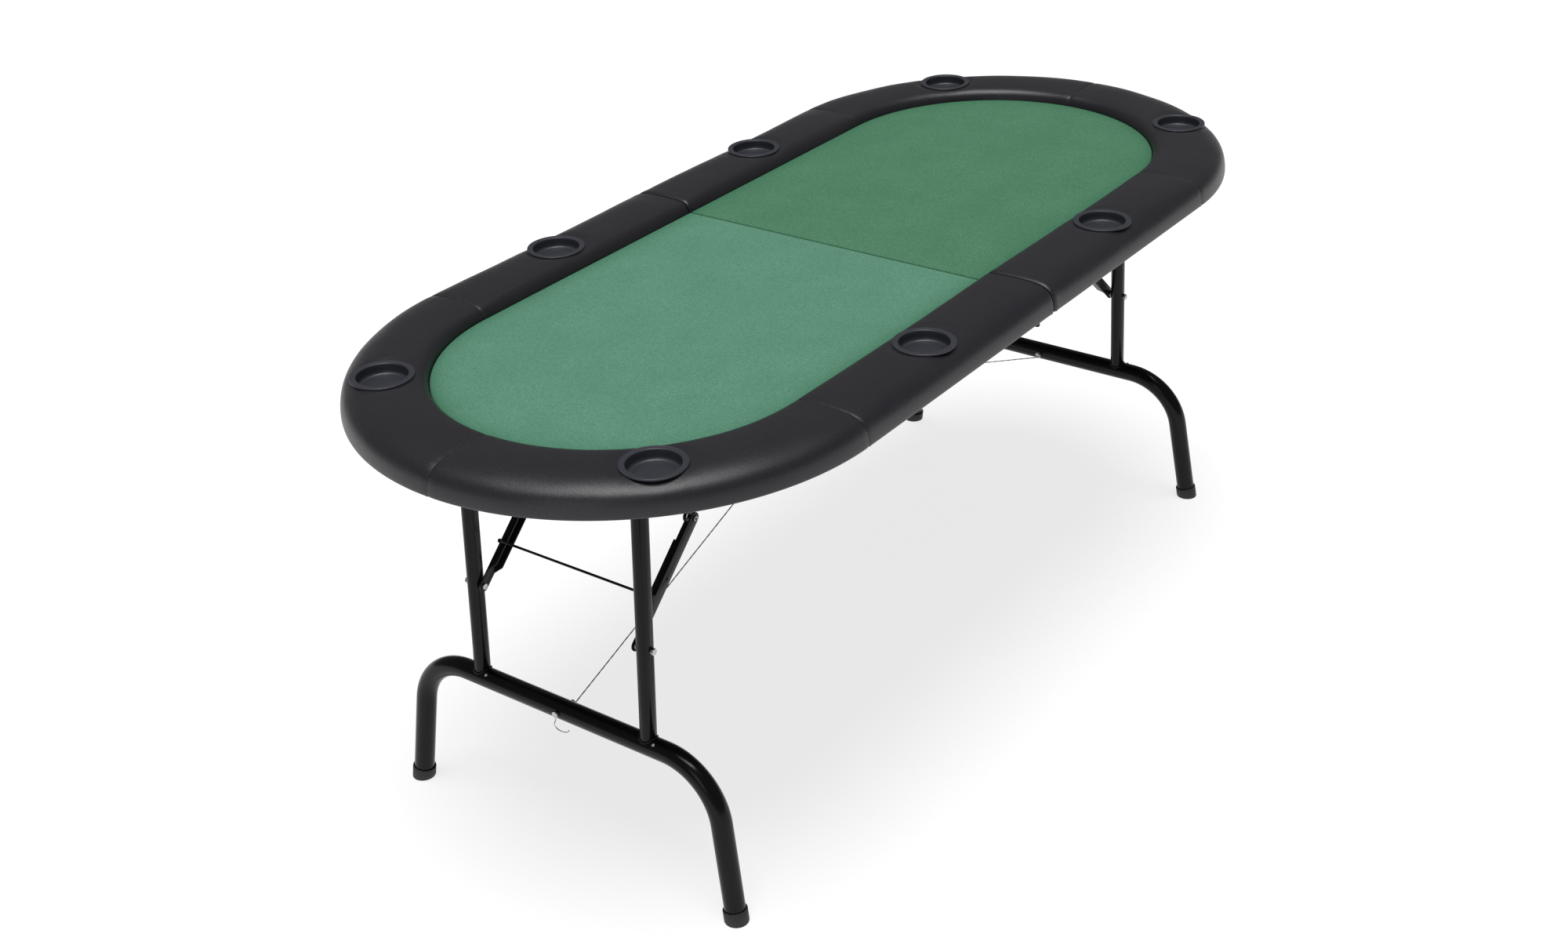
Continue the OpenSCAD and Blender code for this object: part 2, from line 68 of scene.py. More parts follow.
def addNode(material, kind, sockets=None, **settings):
    # adds a shader node; sockets takes values and other nodes' outputs
    tree = material.node_tree
    node = tree.nodes.new("ShaderNode" + kind)
    for name, value in settings.items():
        setattr(node, name, value)
    for name, value in (sockets or {}).items():
        if isinstance(value, bpy.types.NodeSocket):
            tree.links.new(value, node.inputs[name])
        else:
            node.inputs[name].default_value = value
    return node


def startMaterial(name, **surface):
    # a new material with its surface shader set up
    material = bpy.data.materials.new(name)
    material.use_nodes = True
    shader = next(n for n in material.node_tree.nodes if n.type == "BSDF_PRINCIPLED")
    for socket, value in surface.items():
        shader.inputs[socket.replace("_", " ")].default_value = value
    where = addNode(material, "TexCoord").outputs["Object"]
    return material, shader, where


def feed(material, shader, name, output):
    material.node_tree.links.new(output, shader.inputs[name])


def cells(sizeMm):
    # the scale that gives a pattern cells of this size
    return 1000 / sizeMm


def mixColours(material, share, first, second):
    return addNode(material, "Mix", {0: share, 6: first, 7: second}, data_type="RGBA").outputs[2]


def remap(material, value, low, high, newLow, newHigh):
    return addNode(material, "MapRange", {0: value, 1: low, 2: high, 3: newLow, 4: newHigh}).outputs[0]


def makeRailVinyl():
    # PVC-coated fabric, embossed with a leather grain: dark, softly glossy, lighter on the grain's crests
    # the real grain is about 1 mm; it is drawn at 2 mm so that it still shows from across the table
    look = {"valley": "1a181d", "crest": "28262c", "drift": "18161d", "grainMm": 2.0, "driftMm": 160}
    material, shader, where = startMaterial("railVinyl", Specular_IOR_Level=0.45, IOR=1.5)
    grain = addNode(material, "TexVoronoi", {"Vector": where, "Scale": cells(look["grainMm"])},
                    feature="DISTANCE_TO_EDGE").outputs["Distance"]
    fine = addNode(material, "TexNoise", {"Vector": where, "Scale": cells(1.1), "Detail": 3.0}).outputs["Fac"]
    drift = addNode(material, "TexNoise", {"Vector": where, "Scale": cells(look["driftMm"]),
                                           "Detail": 2.0}).outputs["Fac"]
    crest = remap(material, grain, 0.0, 0.3, 0.0, 1.0)
    base = mixColours(material, crest, hexColour(look["valley"]), hexColour(look["crest"]))
    tint = remap(material, drift, 0.35, 0.7, 0.0, 0.5)
    colour = mixColours(material, tint, base, hexColour(look["drift"]))
    feed(material, shader, "Base Color", colour)
    feed(material, shader, "Roughness", remap(material, fine, 0.3, 0.7, 0.34, 0.44))
    small = addNode(material, "Bump", {"Height": fine, "Strength": 0.2, "Distance": 0.2 * mm})
    bump = addNode(material, "Bump", {"Height": crest, "Strength": 0.45, "Distance": 0.16 * mm,
                                      "Normal": small.outputs["Normal"]})
    feed(material, shader, "Normal", bump.outputs["Normal"])
    return material


def makeCloth(name, light, dark):
    # napped playing cloth: matt, finely speckled, with a faint bloom where the nap turns
    # the rim colour is painted shade, for the rail's shade on the cloth next to it
    look = {"fibreMm": 2.8, "patchMm": 90, "rim": "2f6647"}
    material, shader, where = startMaterial(name, Specular_IOR_Level=0.15, Sheen_Weight=0.25,
                                            Sheen_Roughness=0.5, Sheen_Tint=hexColour("a8c8b4"))
    speckle = addNode(material, "TexNoise", {"Vector": where, "Scale": cells(look["fibreMm"]), "Detail": 4.0,
                                             "Roughness": 0.75}).outputs["Fac"]
    fibres = addNode(material, "TexVoronoi", {"Vector": where, "Scale": cells(1.6)}).outputs["Distance"]
    patch = addNode(material, "TexNoise", {"Vector": where, "Scale": cells(look["patchMm"]),
                                           "Detail": 3.0}).outputs["Fac"]
    share = remap(material, speckle, 0.28, 0.72, 0.0, 1.0)
    base = mixColours(material, share, hexColour(dark), hexColour(light))
    shade = remap(material, patch, 0.35, 0.65, 0.0, 0.22)
    patched = mixColours(material, shade, base, hexColour(dark))
    # painted shade: the cloth's colour darkens towards the rail, where the rail shades it
    rim = addNode(material, "Attribute", attribute_name="rim").outputs["Fac"]
    paintedRailShade = remap(material, rim, 0.0, 1.0, 0.0, 0.75)
    feed(material, shader, "Base Color", mixColours(material, paintedRailShade, patched, hexColour(look["rim"])))
    feed(material, shader, "Roughness", remap(material, speckle, 0.2, 0.8, 0.85, 0.98))
    nap = addNode(material, "Bump", {"Height": fibres, "Strength": 0.25, "Distance": 0.4 * mm})
    bump = addNode(material, "Bump", {"Height": speckle, "Strength": 0.4, "Distance": 0.5 * mm,
                                      "Normal": nap.outputs["Normal"]})
    feed(material, shader, "Normal", bump.outputs["Normal"])
    return material


def makeMoulded(name, low, high, roughness, textureMm, depth):
    # injection-moulded plastic or rubber: one even colour, a fine spark-eroded skin, faint flow marks
    material, shader, where = startMaterial(name, IOR=1.5)
    skin = addNode(material, "TexNoise", {"Vector": where, "Scale": cells(textureMm),
                                          "Detail": 3.0}).outputs["Fac"]
    flow = addNode(material, "TexNoise", {"Vector": where, "Scale": cells(45), "Detail": 2.0,
                                          "Distortion": 0.6}).outputs["Fac"]
    feed(material, shader, "Base Color", mixColours(material, flow, hexColour(low), hexColour(high)))
    feed(material, shader, "Roughness", remap(material, skin, 0.3, 0.7, roughness - 0.06, roughness + 0.08))
    bump = addNode(material, "Bump", {"Height": skin, "Strength": 0.3, "Distance": depth * mm})
    feed(material, shader, "Normal", bump.outputs["Normal"])
    return material


def makePowderCoat(name, low, high, roughness, peelMm):
    # powder coat on steel: glossy black with an orange peel and a few dull rubbed patches
    material, shader, where = startMaterial(name, Specular_IOR_Level=0.16, Coat_Weight=0.05,
                                            Coat_Roughness=0.1, IOR=1.5)
    peel = addNode(material, "TexNoise", {"Vector": where, "Scale": cells(peelMm),
                                          "Detail": 2.0}).outputs["Fac"]
    rub = addNode(material, "TexNoise", {"Vector": where, "Scale": cells(38), "Detail": 5.0,
                                         "Roughness": 0.65}).outputs["Fac"]
    worn = remap(material, rub, 0.55, 0.8, 0.0, 1.0)
    feed(material, shader, "Base Color", mixColours(material, worn, hexColour(low), hexColour(high)))
    feed(material, shader, "Roughness", remap(material, worn, 0.0, 1.0, roughness, roughness + 0.08))
    bump = addNode(material, "Bump", {"Height": peel, "Strength": 0.2, "Distance": 0.12 * mm})
    feed(material, shader, "Normal", bump.outputs["Normal"])
    return material


def makePlating(name, low, high, roughness):
    # bright zinc plating: silvery metal, slightly cloudy, with fine wiping marks
    material, shader, where = startMaterial(name, Metallic=1.0)
    cloud = addNode(material, "TexNoise", {"Vector": where, "Scale": cells(7), "Detail": 4.0}).outputs["Fac"]
    wiped = {"Vector": where, "Scale": cells(0.8), "Detail": 2.0}
    marks = addNode(material, "TexNoise", wiped).outputs["Fac"]
    feed(material, shader, "Base Color", mixColours(material, cloud, hexColour(low), hexColour(high)))
    feed(material, shader, "Roughness", remap(material, cloud, 0.3, 0.7, roughness, roughness + 0.2))
    bump = addNode(material, "Bump", {"Height": marks, "Strength": 0.15, "Distance": 0.05 * mm})
    feed(material, shader, "Normal", bump.outputs["Normal"])
    return material


def makeWire():
    # stranded steel wire; its lay is drawn at 4 mm so that the strands show
    material, shader, where = startMaterial("steelWire", Metallic=1.0, Roughness=0.38)
    strands = addNode(material, "TexWave", {"Vector": where, "Scale": cells(4) / waveTurn},
                      wave_type="BANDS", bands_direction="DIAGONAL").outputs["Fac"]
    feed(material, shader, "Base Color",
         mixColours(material, strands, hexColour("7c7e80"), hexColour("c8cacc")))
    bump = addNode(material, "Bump", {"Height": strands, "Strength": 0.7, "Distance": 0.2 * mm})
    feed(material, shader, "Normal", bump.outputs["Normal"])
    return material


def makeTimber(name, dark, light, along, roughness, ringMm):
    # a wooden board with its grain drawn out along one axis
    material, shader, where = startMaterial(name, IOR=1.5)
    stretch = [1.0, 1.0, 1.0]
    stretch[along] = 0.06
    laid = addNode(material, "Mapping", {"Vector": where, "Scale": stretch}).outputs["Vector"]
    rings = addNode(material, "TexNoise", {"Vector": laid, "Scale": cells(ringMm), "Detail": 6.0,
                                           "Roughness": 0.6, "Distortion": 0.4}).outputs["Fac"]
    pores = addNode(material, "TexNoise", {"Vector": laid, "Scale": cells(1.2), "Detail": 2.0}).outputs["Fac"]
    share = remap(material, rings, 0.3, 0.7, 0.0, 1.0)
    base = mixColours(material, share, hexColour(dark), hexColour(light))
    pitted = remap(material, pores, 0.55, 0.75, 0.0, 0.55)
    feed(material, shader, "Base Color", mixColours(material, pitted, base, hexColour(dark)))
    feed(material, shader, "Roughness", remap(material, pores, 0.3, 0.7, roughness, roughness + 0.15))
    bump = addNode(material, "Bump", {"Height": pores, "Strength": 0.35, "Distance": 0.2 * mm})
    feed(material, shader, "Normal", bump.outputs["Normal"])
    return material


def makeThread():
    # bonded polyester thread, paler than the vinyl it holds; the ply is drawn at 1 mm so that it shows
    material, shader, where = startMaterial("sewingThread", Specular_IOR_Level=0.3, Sheen_Weight=0.3)
    ply = addNode(material, "TexWave", {"Vector": where, "Scale": cells(1) / waveTurn, "Distortion": 1.5},
                  bands_direction="DIAGONAL").outputs["Fac"]
    feed(material, shader, "Base Color", mixColours(material, ply, hexColour("2d2b31"), hexColour("4b4850")))
    feed(material, shader, "Roughness", remap(material, ply, 0.0, 1.0, 0.7, 0.85))
    bump = addNode(material, "Bump", {"Height": ply, "Strength": 0.4, "Distance": 0.2 * mm})
    feed(material, shader, "Normal", bump.outputs["Normal"])
    return material


materials = {
    "railVinyl": makeRailVinyl(),
    # one cloth in two copies, for how light falls on its nap: the left half painted lighter, the right half
    # painted darker
    "clothLeft": makeCloth("playingClothPaintedLighter", "6f9f88", "43785f"),
    "clothRight": makeCloth("playingClothPaintedDarker", "5f9073", "356949"),
    "cupPlastic": makeMoulded("cupPlasticAbs", "2a2c33", "33353c", 0.42, 1.4, 0.12),
    "footRubber": makeMoulded("footRubber", "18181b", "222226", 0.62, 1.8, 0.25),
    "blackTube": makePowderCoat("powderCoatGloss", "0d0d0e", "141415", 0.2, 3.2),
    "blackLink": makePowderCoat("powderCoatSatin", "121213", "1a1a1b", 0.34, 2.4),
    "blackBracket": makePowderCoat("powderCoatBracket", "1c1d1f", "262729", 0.42, 2.4),
    "zinc": makePlating("zincPlatedSteel", "9a9c9e", "d0d2d4", 0.28),
    "wire": makeWire(),
    "boardPly": makeTimber("stainedPlywood", "1d1a17", "332d27", 0, 0.55, 22),
    "battenPly": makeTimber("stainedBatten", "221d19", "3b342c", 1, 0.58, 14),
    "deckBoard": makeTimber("fibreboard", "75583a", "93744f", 0, 0.8, 6),
    "thread": makeThread(),
}
print("materials made")


def finishPiece(name, bm, material, body, stands=(), smoothAngle=40):
    # writes the mesh, shades it smooth up to that angle and hangs it on its body, if it has one
    mesh = bpy.data.meshes.new(name)
    bm.to_mesh(mesh)
    bm.free()
    piece = bpy.data.objects.new(name, mesh)
    scene.collection.objects.link(piece)
    mesh.materials.append(materials[material])
    mesh.shade_smooth()
    if smoothAngle:
        mesh.set_sharp_from_angle(angle=math.radians(smoothAngle))
    if body:
        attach(piece, body)
    if stands:
        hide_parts(*stands)
    return piece


def edgesThrough(bm, points, closed=False):
    # a chain of edges through the points, or a closed ring
    verts = [bm.verts.new(p) for p in points]
    return [bm.edges.new(pair) for pair in zip(verts, verts[1:] + (verts[:1] if closed else []))]


def pulledOut(bm, edges, depth):
    # draws the edges out along -X and gives the new ones
    moved = bmesh.ops.extrude_edge_only(bm, edges=edges)["geom"]
    ring = [g for g in moved if isinstance(g, bmesh.types.BMVert)]
    bmesh.ops.translate(bm, verts=ring, vec=(-depth, 0, 0))
    return [g for g in moved if isinstance(g, bmesh.types.BMEdge)]


def smoothCurve(points, steps):
    # a smooth line through the points, with this many steps between each two
    points = [Vector(p) for p in points]
    ends = [points[0] * 2 - points[1]] + points + [points[-1] * 2 - points[-2]]
    out = []
    for a, b, c, d in zip(ends, ends[1:], ends[2:], ends[3:]):
        for i in range(steps):
            t = i / steps
            out.append(0.5 * (2 * b + (c - a) * t + (2 * a - 5 * b + 4 * c - d) * t * t
                              + (3 * b - a - 3 * c + d) * t ** 3))
    return out + [points[-1]]


def easeStep(value, low, high):
    t = min(max((value - low) / (high - low), 0), 1)
    return t * t * (3 - 2 * t)


table = {
    "arcX": 502 * mm, "innerRadius": 285.5 * mm, "halfGap": 1.5 * mm, "rimTop": 741.5 * mm,
}
cup = {
    "sideX": 266 * mm, "middleRadius": 349 * mm, "flangeRadius": 46.5 * mm, "flangeUnder": 738.5 * mm,
    "wellRadius": 39.85 * mm, "floor": 721.7 * mm, "clearance": 0.25 * mm, "seat": 0.3 * mm,
    "above": 800 * mm,
}
endCupX = table["arcX"] + cup["middleRadius"] * math.cos(math.pi / 4)
endCupY = cup["middleRadius"] * math.sin(math.pi / 4)
cupSteps = 96

# rail: a profile of (distance from the inner edge, height) in millimetres, from the
# inner foot over the crown and down the outer side, then back under the pad
rail = {
    "profile": [(0.4, 707.6), (0.3, 713), (0.9, 720), (2.8, 727), (6.2, 732.6), (11.5, 736.6), (19, 738.6),
                (32, 739.6), (48, 740.1), (64, 740.2), (80, 739.7), (94, 738.5), (105, 736.2), (113.5, 732.2),
                (119.8, 726.4), (124, 718.5), (126.2, 709), (126.9, 701), (126.2, 696.6), (123.6, 695.2),
                (120.4, 695.3), (119.3, 697)],
    "underneath": [(119.3, 707.5), (96, 707.5), (72, 707.5), (48, 707.5), (24, 707.5)],
    "width": 127, "crownSteps": 3, "arcSteps": 120, "stationMm": 5.5,
    # closer stations near the fold and near the seam, where the shape turns quickly
    "foldStations": [0, 0.4, 1.2, 2.4, 4, 6, 8.5, 11, 14],
    "seamStations": [14, 11, 8.5, 6.5, 4.5, 3, 1.8, 0.8, 0],
}
# how the swept cover is shaped, in millimetres
sculpt = {
    "skirtLow": 707.5, "skirtHigh": 716, "sideFloor": 700,
    "seamDip": 1.1, "seamWidth": 2.2, "seamHollow": 0.6, "seamReach": 7,
    "ripple": 0.2, "rippleReach": 22, "rippleTurns": 46,
    "loafReach": 8, "loafDrop": 5.5, "waist": 0.5, "waistAt": 24, "waistReach": 13,
    "edgeHold": 0.55, "squeeze": 0.45,
    "slow": 0.7, "slowScale": 9, "wave": 0.25, "waveScale": 26, "waveHold": 0.6,
    "dimple": 0.9, "dimpleReach": 24, "dimpleDepth": 1.7, "pucker": 0.08, "puckerTurns": 19,
}


def railSection():
    shape = smoothCurve([(x, z, 0) for x, z in rail["profile"]], rail["crownSteps"])
    return [(p.x * mm, p.y * mm) for p in shape] + [(x * mm, z * mm) for x, z in rail["underneath"]]


def bellCurve(distance, reach):
    return math.exp(-(distance / reach) ** 2)


def sculptRail(bm, place, seed):
    # seams dip, the fold's end rounds over, and the cover dimples round its cup
    k = sculpt
    half = rail["width"] / 2 * mm
    for v in bm.verts:
        onArc = v.co.x < -table["arcX"] - 1e-6
        centre = Vector((-table["arcX"] if onArc else v.co.x, 0, 0))
        out = Vector((v.co.x, v.co.y, 0)) - centre
        radius = out.length
        out.normalize()
        upper = easeStep(v.co.z, k["skirtLow"] * mm, k["skirtHigh"] * mm)
        across = (radius - table["innerRadius"]) / (rail["width"] * mm)
        # sewn seams: where a straight pad meets an end, and in the middle of each end
        fromSeam = v.co.x + table["arcX"]
        gapStraight = radius * abs(math.atan2(fromSeam, v.co.y)) if onArc else abs(fromSeam)
        gapEnd = v.co.y if onArc else 1
        gap = min(gapStraight, gapEnd) / mm
        dip = k["seamDip"] * bellCurve(gap, k["seamWidth"]) + k["seamHollow"] * bellCurve(gap, k["seamReach"])
        # the cover gathers in short soft ripples that run out from a seam
        ripple = k["ripple"] * bellCurve(gap, k["rippleReach"]) * math.sin(across * k["rippleTurns"] + seed)
        # the rounded end at the fold
        fold = (-v.co.x - table["halfGap"]) / mm
        drop = 0
        if fold < k["loafReach"]:
            t = 1 - fold / k["loafReach"]
            drop = k["loafDrop"] * (1 - math.sqrt(max(1 - t * t, 0)))
        sink = dip + ripple + drop + k["waist"] * bellCurve(fold - k["waistAt"], k["waistReach"])
        side = (radius - table["innerRadius"] - half) / half
        v.co.z -= sink * mm * upper * (1 - k["edgeHold"] * abs(side) ** 3)
        if v.co.z > k["sideFloor"] * mm or side > 0:
            v.co -= out * k["squeeze"] * sink * mm * abs(side) ** 3 * (1 if side > 0 else -1)
        # foam never lies dead flat
        slow = noise.noise(Vector((v.co.x * k["slowScale"] + seed, v.co.y * k["slowScale"], 3.7)))
        wave = noise.noise(Vector((v.co.x * k["waveScale"], v.co.y * k["waveScale"] + seed, 1.3)))
        v.co.z += (slow * k["slow"] + wave * k["wave"]) * mm * upper * (1 - k["waveHold"] * abs(side) ** 4)
        # the flange presses a shallow dimple into the cover, with fine puckers round it
        away = (Vector((v.co.x, v.co.y)) - Vector(place)).length - cup["flangeRadius"]
        if away < k["dimpleReach"] * mm and upper > 0:
            press = 1 - easeStep(away, 0, k["dimpleReach"] * mm)
            angle = math.atan2(v.co.y - place[1], v.co.x - place[0])
            pucker = k["pucker"] * math.sin(angle * k["puckerTurns"] + seed) * press * (1 - press) * 4
            level = table["rimTop"] - k["dimpleDepth"] * mm
            lower = (min(v.co.z, level) - v.co.z) * press ** 2
            v.co.z += (lower - (pucker + k["dimple"] * press ** 3) * mm) * upper


settled = {}


def settleCover(bm, isEnd):
    # blows the cover up a little over its foam, held at its foot and along its sewn ends
    settle = {"frames": 14, "pressure": 3.0, "stretch": 25, "bend": 4, "mass": 0.4, "furthest": 2.2 * mm,
              "evenings": 24, "footLow": 709 * mm, "footHigh": 722 * mm, "sewnReach": 12 * mm}
    if isEnd not in settled:
        mesh = bpy.data.meshes.new("cover")
        bm.to_mesh(mesh)
        cover = bpy.data.objects.new("cover", mesh)
        scene.collection.objects.link(cover)
        held = cover.vertex_groups.new(name="held")
        for v in mesh.vertices:
            foot = 1 - easeStep(v.co.z, settle["footLow"], settle["footHigh"])
            if isEnd:
                turn = math.atan2(v.co.y, -v.co.x - table["arcX"])
                ends = min(turn, math.pi / 2 - turn) * cup["middleRadius"]
            else:
                ends = min(-v.co.x - table["halfGap"], v.co.x + table["arcX"])
            held.add([v.index], max(foot, 1 - easeStep(ends, 0, settle["sewnReach"])), "REPLACE")
        cloth = cover.modifiers.new("settle", "CLOTH")
        cloth.settings.vertex_group_mass = "held"
        cloth.settings.use_pressure = True
        cloth.settings.uniform_pressure_force = settle["pressure"]
        cloth.settings.tension_stiffness = cloth.settings.compression_stiffness = settle["stretch"]
        cloth.settings.bending_stiffness = settle["bend"]
        cloth.settings.mass = settle["mass"]
        cloth.settings.effector_weights.gravity = 0
        cloth.point_cache.frame_start, cloth.point_cache.frame_end = 1, settle["frames"]
        for frameNumber in range(1, settle["frames"] + 1):
            scene.frame_set(frameNumber)
        blown = cover.evaluated_get(bpy.context.evaluated_depsgraph_get()).to_mesh()
        moves = []
        for before, after in zip(mesh.vertices, blown.vertices):
            move = after.co - before.co
            if move.length > settle["furthest"]:
                move *= settle["furthest"] / move.length
            moves.append(move)
        # the foam evens the moves out
        near = [[] for _ in moves]
        for edge in mesh.edges:
            a, b = edge.vertices
            near[a].append(b)
            near[b].append(a)
        for _ in range(settle["evenings"]):
            moves = [(move + sum((moves[i] for i in around), Vector())) / (len(around) + 1)
                     for move, around in zip(moves, near)]
        settled[isEnd] = moves
        print("cover settled, furthest move", round(max(m.length for m in moves) / mm, 2), "mm")
        scene.frame_set(1)
        bpy.data.objects.remove(cover)
        bpy.data.meshes.remove(mesh)
    for v, move in zip(bm.verts, settled[isEnd]):
        v.co += move


def cutWell(bm, place):
    # cuts the stepped well that the cup and its flange sit in
    tool = bpy.data.meshes.new("well")
    ledge, mouth = cup["flangeUnder"] - cup["seat"], cup["flangeRadius"] + cup["clearance"]
    steps = [(0, cup["floor"]), (cup["wellRadius"], cup["floor"]), (cup["wellRadius"], ledge),
             (mouth, ledge), (mouth, cup["above"]), (0, cup["above"])]
    well = bmesh.new()
    edges = edgesThrough(well, [(place[0] + r, place[1], z) for r, z in steps])
    bmesh.ops.spin(well, geom=edges, cent=(place[0], place[1], 0), axis=(0, 0, 1), dvec=(0, 0, 0),
                   angle=2 * math.pi, steps=cupSteps, use_merge=True, use_duplicate=False)
    bmesh.ops.remove_doubles(well, verts=well.verts, dist=0.01 * mm)
    bmesh.ops.recalc_face_normals(well, faces=well.faces)
    well.to_mesh(tool)
    well.free()
    cutter = bpy.data.objects.new("well", tool)
    scene.collection.objects.link(cutter)
    body = bpy.data.meshes.new("pad")
    bm.to_mesh(body)
    pad = bpy.data.objects.new("pad", body)
    scene.collection.objects.link(pad)
    cutting = pad.modifiers.new("well", "BOOLEAN")
    cutting.operation = "DIFFERENCE"
    cutting.solver = "EXACT"
    cutting.object = cutter
    evaluated = pad.evaluated_get(bpy.context.evaluated_depsgraph_get())
    bm.clear()
    bm.from_mesh(evaluated.to_mesh())
    evaluated.to_mesh_clear()
    for spare in (pad, cutter):
        mesh = spare.data
        bpy.data.objects.remove(spare)
        bpy.data.meshes.remove(mesh)


def sweepRail(isEnd):
    # the section turned round an end, or drawn out along a side
    bm = bmesh.new()
    startX = -table["arcX"] if isEnd else -table["halfGap"]
    points = [(startX, table["innerRadius"] + x, z) for x, z in railSection()]
    edges = edgesThrough(bm, points, True)
    if isEnd:
        bmesh.ops.spin(bm, geom=edges, cent=(-table["arcX"], 0, 0), axis=(0, 0, 1), dvec=(0, 0, 0),
                       angle=math.pi / 2, steps=rail["arcSteps"], use_merge=False, use_duplicate=False)
    else:
        run = (table["arcX"] - table["halfGap"]) / mm
        stations = list(rail["foldStations"])
        while stations[-1] + rail["stationMm"] < run - rail["seamStations"][0]:
            stations.append(stations[-1] + rail["stationMm"])
        stations += [run - d for d in rail["seamStations"]]
        for a, b in zip(stations, stations[1:]):
            edges = pulledOut(bm, edges, (b - a) * mm)
    bmesh.ops.holes_fill(bm, edges=[e for e in bm.edges if e.is_boundary], sides=0)
    bmesh.ops.recalc_face_normals(bm, faces=bm.faces)
    return bm


def mirrored(bm, side, face):
    # the shape is drawn for the left back quarter
    flip = Matrix.Diagonal((-1 if side == "right" else 1, -1 if face == "front" else 1, 1, 1))
    bmesh.ops.transform(bm, matrix=flip, verts=bm.verts)
    bmesh.ops.recalc_face_normals(bm, faces=bm.faces)


def addStitches(bm, surface, line):
    # a row of short stitches that lies on the surface along the line of points
    thread = {"length": 3.6 * mm, "width": 0.8 * mm, "proud": 0.12 * mm, "pitch": 7 * mm}
    run = 0
    for a, b in zip(line, line[1:]):
        run += (b - a).length
        if run < thread["pitch"]:
            continue
        run = 0
        spot, normal, _, _ = surface.find_nearest((a + b) / 2)
        turn = (b - a).to_track_quat("X", "Z").to_matrix().to_4x4()
        size = Matrix.Diagonal((thread["length"] / 2, thread["width"] / 2, thread["width"] / 2, 1))
        bmesh.ops.create_uvsphere(bm, u_segments=6, v_segments=5, radius=1,
                                  matrix=Matrix.Translation(spot + normal * thread["proud"]) @ turn @ size)


def stitchLine(where):
    # points across the rail, from its inner edge over the crown and down the outer side
    # at the fold only the bullnose is stitched
    row = {"first": 3, "firstAtFold": 40, "last": 56, "off": 2.6 * mm, "offFold": 5.5 * mm}
    first = row["firstAtFold"] if where == "fold" else row["first"]
    points = [Vector((0, table["innerRadius"] + x, z)) for x, z in railSection()[first:row["last"]]]
    fine = smoothCurve(points, 3)
    if where == "middle":
        turn = Matrix.Rotation(math.pi / 2 - row["off"] / cup["middleRadius"], 4, "Z")
        return [turn @ p + Vector((-table["arcX"], 0, 0)) for p in fine]
    x = -table["arcX"] + row["off"] if where == "seam" else -table["halfGap"] - row["offFold"]
    return [p + Vector((x, 0, 0)) for p in fine]


def makeRails():
    seed = 0
    stitches = {side: bmesh.new() for side in sideNames}
    for side in sideNames:
        for face in faceNames:
            for isEnd in (False, True):
                seed += 1
                place = (-endCupX, endCupY) if isEnd else (-cup["sideX"], cup["middleRadius"])
                bm = sweepRail(isEnd)
                settleCover(bm, isEnd)
                sculptRail(bm, place, seed)
                surface = BVHTree.FromBMesh(bm)
                rows = bmesh.new()
                if not isEnd:
                    addStitches(rows, surface, stitchLine("seam"))
                    addStitches(rows, surface, stitchLine("fold"))
                elif face == "back":
                    addStitches(rows, surface, stitchLine("middle"))
                mirrored(rows, side, face)
                joinInto(stitches[side], rows)
                cutWell(bm, place)
                mirrored(bm, side, face)
                name = f"{side}_rail_{'end_' if isEnd else ''}{face}"
                pad = finishPiece(name + "_pad", bm, "railVinyl", side + "_half", (name,), 50)
    for side in sideNames:
        finishPiece(side + "_rail_stitches", stitches[side], "thread", side + "_half")
    print("rail pads made")


def makeCups():
    # turned round its axis: dished floor with a ring step, drafted wall, flat flange with a raised lip
    shape = [
        (0, -17.0), (10, -17.0), (27.6, -17.0), (28.4, -16.9), (28.9, -16.2), (30.0, -16.1), (31.6, -16.1),
        (33.4, -15.9), (35.0, -15.1), (36.0, -13.8), (36.5, -12.0), (36.7, -9), (36.9, -5), (37.0, -2.2),
        (37.25, -1.1), (37.8, -0.45), (38.6, -0.2), (40.5, -0.35), (42.6, -0.5), (43.6, -0.5),
        (44.2, -0.3), (44.7, -0.05), (45.3, 0), (45.9, -0.25), (46.35, -0.8), (46.5, -1.5), (46.45, -2.3),
        (46.1, -2.9), (45.4, -3.0), (40.2, -3.0), (39.5, -3.5), (39.4, -9), (39.3, -17.5), (38.9, -18.9),
        (37.8, -19.5), (20, -19.5), (0, -19.5),
    ]
    for side in sideNames:
        for face in faceNames:
            for isEnd in (False, True):
                x, y = (endCupX, endCupY) if isEnd else (cup["sideX"], cup["middleRadius"])
                x *= -1 if side == "left" else 1
                y *= -1 if face == "front" else 1
                bm = bmesh.new()
                points = [(x + r * mm, y, table["rimTop"] + z * mm) for r, z in shape]
                edges = edgesThrough(bm, points)
                bmesh.ops.spin(bm, geom=edges, cent=(x, y, 0), axis=(0, 0, 1), dvec=(0, 0, 0),
                               angle=2 * math.pi, steps=cupSteps, use_merge=True, use_duplicate=False)
                bmesh.ops.remove_doubles(bm, verts=bm.verts, dist=0.01 * mm)
                bmesh.ops.recalc_face_normals(bm, faces=bm.faces)
                name = f"{side}_cup_{'end_' if isEnd else ''}{face}"
                finishPiece(name + "_moulding", bm, "cupPlastic", side + "_half", (name,), 45)
    print("cup holders made")


